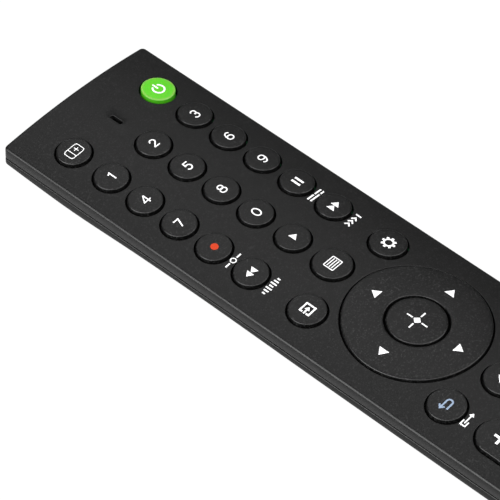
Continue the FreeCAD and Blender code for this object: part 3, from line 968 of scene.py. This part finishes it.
fine_pen = 0.24
arrow_pen = 0.4
mute_horn = [(-1.5, 0.45), (-0.9, 0.45), (-0.1, 1.15), (-0.1, -1.15), (-0.9, -0.45), (-1.5, -0.45)]
house = [(-1.7, 0.1), (0, 1.6), (1.7, 0.1), (1.2, 0.1), (1.2, -1.3), (0.4, -1.3), (0.4, -0.4), (-0.4, -0.4),
         (-0.4, -1.3), (-1.2, -1.3), (-1.2, 0.1)]
signs = {
    "key_record": shape(disc(0, 0, 0.92)),
    "key_pause": strokes(0.56, [(-0.62, -1.0), (-0.62, 0.96)], [(0.62, -1.0), (0.62, 0.96)]),
    "key_rewind": arrowhead(-1.0, 0, 1.45, 2.0, 180) + arrowhead(0.47, 0, 1.45, 2.0, 180),
    "key_play": arrowhead(0.3, 0, 1.6, 2.15),
    "key_fast_forward": arrowhead(-0.72, 0, 1.5, 2.15) + arrowhead(0.82, 0, 1.5, 2.15),
    "key_screen": (screen_sign(2.05, 1.35, 0.17, 6.0)
                   + strokes(0.18, [(-0.7, -1.3), (-0.7, 1.3)], [(0.2, 0.1), (1.3, 0.1)],
                             [(0.75, -0.45), (0.75, 0.65)])),
    "key_input": (strokes(arrow_pen, [(-1.22, 0.7), (-1.22, 1.22), (1.22, 1.22), (1.22, -1.22),
                                      (-1.22, -1.22), (-1.22, -0.7)], [(-1.3, 0), (0.1, 0)])
                  + arrowhead(0.2, 0, 0.95, 1.35)),
    "key_list": (frame_sign(1.7, 1.3, fine_pen, 0.12)
                 + strokes(fine_pen, *[[(-1.25, y), (1.25, y)] for y in (-0.65, 0, 0.65)])),
    "key_settings": gear(8, 1.76, 1.28, 0.88),
    "key_back": strokes(arrow_pen, arc(0.75, 0, 0.7, 0.7, -90, 90) + [(-1.6, 0.7)],
                        [(0.75, -0.7), (-0.9, -0.7)], [(-1.0, 1.25), (-1.65, 0.7), (-1.0, 0.15)]),
    "key_home": shape(house),
    "key_options": shape(*[disc(x, 0, 0.34) for x in (-1.1, 0.0, 1.1)]),
    "key_mute": shape(mute_horn) + strokes(0.32, [(0.55, 0.5), (1.55, -0.5)], [(0.55, -0.5), (1.55, 0.5)]),
}
inks = {"key_record": red_ink, "key_back": blue_ink}

for name in round_keys:
    if name == "key_power":
        continue
    x, y, radius, _ = node_place(name)
    surface = cap_surface(x, y, radius)
    dressed(cap(name + "_cap", surface, x, y, radius), name, key_plastic, name)
    printed(name + "_sign", digits.get(name) or signs[name], (x + print_shift[0], y + print_shift[1]),
            surface, name, inks.get(name, white_ink))

# Power key
# The same cap in a translucent green plastic. A painted highlight makes it paler along its rounded
# shoulder, painted shade darkens its upright side, and a painted glow lights it faintly in its gap.
power_x, power_y, power_radius, _ = node_place("key_power")
highlight_start = 0.75
highlight_end = 0.3
shade_start = 0.12
shade_end = 0.02
power_pen = 0.43
power_arc = 1.38
# Cap colours: its own green on top, a paler painted highlight for the shoulder, a darker painted shade for
# the side, and a painted glow.
top_green = (0.04, 0.218, 0.0044)
highlight_green = (0.08, 0.186, 0.025)
shade_green = (0.022, 0.123, 0.003)
painted_glow_green = (0.01, 0.2, 0.002)
power_speck_scale = 2200.0
power_speck_share = 0.06
power_speck_depth = 0.008

# The emission is a painted glow: the cap gives off a faint green light of its own, though it is no lamp.
green = Finish("power_green", "power_plastic", Roughness=0.36, Specular_IOR_Level=0.25, Subsurface_Weight=0.3,
               Subsurface_Scale=0.8 * metre, Emission_Color=painted_glow_green, Emission_Strength=0.3)
offset = green.node("ShaderNodeVectorMath", {"operation": "SUBTRACT"},
                    {0: green.place(), 1: (power_x * metre, power_y * metre, 0.0)})
flat = green.node("ShaderNodeVectorMath", {"operation": "MULTIPLY"}, {0: offset, 1: (1.0, 1.0, 0.0)})
distance = green.node("ShaderNodeVectorMath", {"operation": "LENGTH"}, {0: flat}, "Value")
# A painted highlight on the shoulder's band, and painted shade on the upright side.
painted_highlight_rim = green.step(distance, (power_radius - highlight_start) * metre, (power_radius - highlight_end) * metre)
painted_shade_side = green.step(distance, (power_radius - shade_start) * metre, (power_radius - shade_end) * metre)
speck = green.noise(power_speck_scale)
cap_green = green.blend(top_green, highlight_green, painted_highlight_rim + speck * power_speck_share)
green.feed(Base_Color=green.blend(cap_green, shade_green, painted_shade_side))
green.bump(speck, power_speck_depth)
power_surface = cap_surface(power_x, power_y, power_radius)
dressed(cap("power_cap", power_surface, power_x, power_y, power_radius), "key_power", green, "key_power")
power_sign = strokes(power_pen, arc(0, -0.1, power_arc, power_arc, 126, 414, 36), [(0, 0.25), (0, 1.65)],
                     steps=6)
printed("power_sign", power_sign, (power_x, power_y), power_surface, "key_power")

# Direction ring
# A broad flat ring that follows the crowned face, a little over it, with a crisp rounded edge at
# its bore and its rim. It rocks on the silicone web towards four printed arrows.
ring_low, _ = node_corners("nav_ring")
ok_x, ok_y, ok_radius, _ = node_place("key_ok")
middle_gap = 0.56
ring_bore = ok_radius + middle_gap
ring_breadth = ring_radius - ring_bore
ring_edge = ((-0.5, -0.1), (0.0, 0.24), (0.02, 0.32), (0.08, 0.4), (0.18, 0.45), (0.35, 0.48), (0.8, 0.5),
             (2.4, 0.52), (4.6, 0.525))
ring_shape = ring_edge + tuple((ring_breadth - run, height) for run, height in reversed(ring_edge[:-1]))
ring_steps = 160
arrow_reach = 11.85
arrow_length = 1.95
arrow_width = 2.6
arrow_shift = (-0.1, -0.08)


def ring_surface(x, y):
    """The height of the ring's top at any place."""
    run = hypot(x - ring_x, y - ring_y) - ring_bore
    return crown(x) + along(ring_shape, run)


skin = Skin()
radii = [ring_bore + run for run, _ in ring_shape[1:-1]]
loops = [[(x, y, ring_surface(x, y)) for x, y in opening(ring_x, ring_y, radius, 0, ring_steps)]
         for radius in radii]
feet = [[(x, y, ring_low.z) for x, y in opening(ring_x, ring_y, radius, 0, ring_steps)]
        for radius in (radii[-1], radii[0])]
lines = [skin.add(loop) for loop in loops + feet]
skin.sew(lines + lines[:1])
dressed(skin.object("nav_ring_cap"), "nav_ring", key_plastic, "nav_ring")
for name, turn in (("right", 0), ("up", 90), ("left", 180), ("down", 270)):
    angle = radians(turn)
    place = (ring_x + arrow_shift[0] + arrow_reach * cos(angle),
             ring_y + arrow_shift[1] + arrow_reach * sin(angle))
    printed("nav_arrow_" + name, arrowhead(0, 0, arrow_length, arrow_width, turn), place, ring_surface,
            "nav_ring")

# Centre key
# A low dome inside the ring with a rounded shoulder, which presses straight down by itself. It is
# printed with a small diamond and four rays.
middle_rim = 0.26
middle_shoulder = 0.2
middle_shoulder_width = 0.45
middle_dome = 0.22
middle_rings = 12
ray_pen = 0.34
ray_start = 1.45
ray_end = 2.65
diamond_reach = 0.98
middle_shift = (-0.09, -0.08)

middle_surface = cap_surface(ok_x, ok_y, ok_radius, 0.0, middle_rim, middle_shoulder_width, middle_shoulder,
                             middle_dome)
ok_cap = cap("ok_cap", middle_surface, ok_x, ok_y, ok_radius, 0.0, middle_shoulder_width, middle_rings,
             ring_steps)
dressed(ok_cap, "key_ok", key_plastic, "key_ok")
ways = ((1, 0), (0, 1), (-1, 0), (0, -1))
rays = [[(x * ray_start, y * ray_start), (x * ray_end, y * ray_end)] for x, y in ways]
diamond = [(x * diamond_reach, y * diamond_reach) for x, y in ways]
printed("ok_sign", strokes(ray_pen, *rays) + shape(diamond),
        (ok_x + middle_shift[0], ok_y + middle_shift[1]), middle_surface, "key_ok")

# Rockers
# Two pill-shaped caps that tilt about their middles: the left one for the sound, printed with a plus
# and a minus, and the right one for the programme, with two chevrons.
sign_reach = 7.05
bar_pen = 0.62
chevron_pen = 0.5
bar = [(-1.4, 0), (1.4, 0)]
chevron = [(-1.3, -0.6), (0, 0.65), (1.3, -0.6)]
for name, upper, lower in (
        ("rocker_volume", strokes(bar_pen, bar, [(y, x) for x, y in bar]), strokes(bar_pen, bar)),
        ("rocker_programme", strokes(chevron_pen, chevron),
         strokes(chevron_pen, [(x, -y) for x, y in chevron]))):
    x, y, radius, reach = node_place(name)
    span = 2 * (reach - radius)
    surface = cap_surface(x, y, radius, span)
    dressed(cap(name + "_cap", surface, x, y, radius, span), name, key_plastic, name)
    for part, art, side in (("upper", upper, 1), ("lower", lower, -1)):
        printed(name + "_sign_" + part, art, (x, y + side * sign_reach), surface, name)

# Signs on the case
# Small pictograms in the same white ink beside five keys, for help, subtitles, skipping, sound track
# and leaving. Each is placed by its x and by its distance from the first row of digits.
bar_heights = (0.6, 1.1, 1.5, 0.9, 1.5, 1.1, 0.6)
bar_pitch = 0.84
sound_bars = []
for i, height in enumerate(bar_heights):
    x = bar_pitch * (i - 3)
    sound_bars.append([(x, 0.1 - height / 2), (x, height / 2 - 0.1)])
case_signs = {
    "help": ((-13.58, -36.4), ring_sign(0, 0, 0.64, 0.64, 0.26)
             + strokes(0.36, [(-2.3, 0), (-1.3, 0)], [(1.3, 0), (2.3, 0)])),
    "subtitles": ((13.86, -36.4), strokes(0.4, [(-2.1, 0.4), (-0.4, 0.4)], [(0.4, 0.4), (2.1, 0.4)],
                                          [(-2.1, -0.45), (0.6, -0.45)], [(1.4, -0.45), (2.1, -0.45)])),
    "skip": ((13.86, -47.4), strokes(0.38, *[[(x - 0.32, 0.55), (x + 0.3, 0), (x - 0.32, -0.55)]
                                             for x in (-1.8, -0.6, 0.6)], [(1.9, 0.55), (1.9, -0.55)])),
    "sound": ((-13.5, -47.4), strokes(0.36, *sound_bars)),
    "leave": ((-13.27, -102.3), strokes(0.3, [(-0.7, 0.62), (-1.9, 0.62), (-1.9, -0.62), (-0.7, -0.62)],
                                        [(-1.1, 0), (1.1, 0)]) + arrowhead(1.55, 0, 0.9, 1.25)),
}
_, first_y, _, _ = node_place("key_2")
for name, ((x, off), art) in case_signs.items():
    printed("case_sign_" + name, art, (x, first_y + off), lambda x, y: crown(x), "root")

# Case screws
# Two zinc-plated screws with a cross recess, driven up from the battery bay into the upper shell,
# where only the battery cover hides them.
screw_low, screw_high = node_corners("case_screws")
screw_y = (screw_low.y + screw_high.y) / 2
screw_steps = 40
head_radius = (screw_high.y - screw_low.y) / 2
head_edge = ((0.35, 0.0), (0.1, 0.12), (0.0, 0.4))
head_height = 1.4
shank_radius = 1.0
point_radius = 0.2
point_length = 0.8
recess_width = 0.5
recess_reach = 1.15
recess_depth = 0.9
zinc_dark = (0.42, 0.43, 0.46)
zinc_light = (0.56, 0.57, 0.6)

zinc = grained("zinc", zinc_dark, zinc_light, scale=1200.0, roughness=0.28, spread=0.15,
               slot="screw_steel", Metallic=1.0)
screw_profile = [(head_radius - inset, screw_low.z + rise) for inset, rise in head_edge]
screw_profile += [(head_radius, screw_low.z + head_height), (shank_radius, screw_low.z + head_height),
                  (shank_radius, screw_high.z - point_length), (point_radius, screw_high.z)]
for name, side in (("left", -1), ("right", 1)):
    x = side * (screw_high.x - head_radius)
    skin = Skin()
    skin.loft([[(px, py, z) for px, py in opening(x, screw_y, radius, 0, screw_steps)]
               for radius, z in screw_profile])
    screw = skin.object("case_screw_" + name)
    for dx, dy in ((recess_reach, recess_width / 2), (recess_width / 2, recess_reach)):
        carved(screw, box_cutter(x - dx, x + dx, screw_y - dy, screw_y + dy, screw_low.z - cutter_room,
                                 screw_low.z + recess_depth))
    dressed(screw, "root", zinc, *(["case_screws"] if side < 0 else []))

# Battery cover
# The tail part of the hull, which slides off towards the tail on two tongues. It has a shallow
# pocket with five ridges for the thumb.
thumb_width = 12.0
thumb_length = 7.0
thumb_depth = 0.5
thumb_corner = 1.5
thumb_ridges = 5
ridge_width = 0.56
ridge_inset = 1.5
ridge_sink = 0.02
ridge_crest = 0.08
ridge_root = 0.2
grip_y = cover_front - part_gap - thumb_length
battery_cover = carved(bare_hull("battery_cover_shell"), cover_space(part_gap + part_step), "INTERSECT")
pocket = rounded(0, grip_y, thumb_width / 2, thumb_length / 2, thumb_corner, 8)
skin = Skin()
skin.loft([[(x, y, z) for x, y in pocket] for z in (-overcut, thumb_depth)])
carved(battery_cover, skin.object("pocket"))
dressed(battery_cover, "battery_cover", case_plastic, "battery_cover")
skin = Skin()
for i in range(thumb_ridges):
    y = grip_y - thumb_length / 2 + (i + 0.5) * thumb_length / thumb_ridges
    reach = thumb_width / 2 - ridge_inset
    profile = arc(y, thumb_depth + ridge_sink, ridge_width / 2, thumb_depth - ridge_crest, 180, 360, 10)
    profile += [(y + ridge_width / 2, thumb_depth + ridge_root),
                (y - ridge_width / 2, thumb_depth + ridge_root)]
    skin.loft([[(x, py, pz) for py, pz in profile] for x in (-reach, reach)])
dressed(skin.object("battery_cover_grip"), "battery_cover", case_plastic)
dressed(works("battery_cover", "battery_cover_works"), "battery_cover", inside_plastic)

# Floor, lights and camera
# A dark floor that gives off a pale light of its own, so that it stays white while the four soft
# lights on the remote stay low, and the camera at the photograph's place, here all in metres.
floor_reach = 4.0
floor_drop = 0.00002
floor_glow = 0.985
floor_dark = (0.015, 0.015, 0.015)
floor_light = (0.02, 0.02, 0.02)
white = (1.0, 1.0, 1.0)
world_light = 0.1
lights = {
    "far_light": ((0.5, 0.6, 1.1), 0.8, 4.5),
    "edge_light": ((-0.92, 0.28, 0.52), 1.0, 38.0),
    "rim_light": ((-0.566, -0.424, 0.843), 1.0, 19.0),
    "tail_light": ((0.431, -0.575, 0.856), 1.0, 19.0),
}

floor_corners = [(x * floor_reach, y * floor_reach, -floor_drop)
                 for x, y in ((-1, -1), (1, -1), (1, 1), (-1, 1))]
floor_mesh = bpy.data.meshes.new("floor")
floor_mesh.from_pydata(floor_corners, [], [(0, 1, 2, 3)])
floor = placed(bpy.data.objects.new("floor", floor_mesh))
painted(floor, grained("pale_floor", floor_dark, floor_light, scale=20.0, roughness=0.9,
                       Specular_IOR_Level=0.0, Emission_Color=white, Emission_Strength=floor_glow))

world = bpy.data.worlds.new("studio")
world.use_nodes = True
background = world.node_tree.nodes["Background"]
background.inputs["Color"].default_value = (*white, 1)
background.inputs["Strength"].default_value = world_light
bpy.context.scene.world = world

for name, (place, size, power) in lights.items():
    lamp = bpy.data.lights.new(name, "AREA")
    lamp.shape = "SQUARE"
    lamp.size = size
    lamp.energy = power
    holder = placed(bpy.data.objects.new(name, lamp))
    holder.location = place
    holder.rotation_euler = (-Vector(place)).to_track_quat("-Z", "Y").to_euler()

view_azimuth = radians(50.524)
view_elevation = radians(46.981)
view_roll = radians(3.1429)
camera_place = Vector((-377.242, -272.174, 529.113)) * metre
camera_data = bpy.data.cameras.new("camera")
camera_data.sensor_width = 36.0
camera_data.lens = 230.12
camera_data.clip_start = 0.05
camera = placed(bpy.data.objects.new("camera", camera_data))
camera.matrix_world = Matrix.Translation(camera_place)
for turn, axis in ((-view_azimuth, "Z"), (pi / 2 - view_elevation, "X"), (view_roll, "Z")):
    camera.matrix_world = camera.matrix_world @ Matrix.Rotation(turn, 4, axis)
bpy.context.scene.camera = camera
bpy.context.scene.view_settings.view_transform = "Standard"
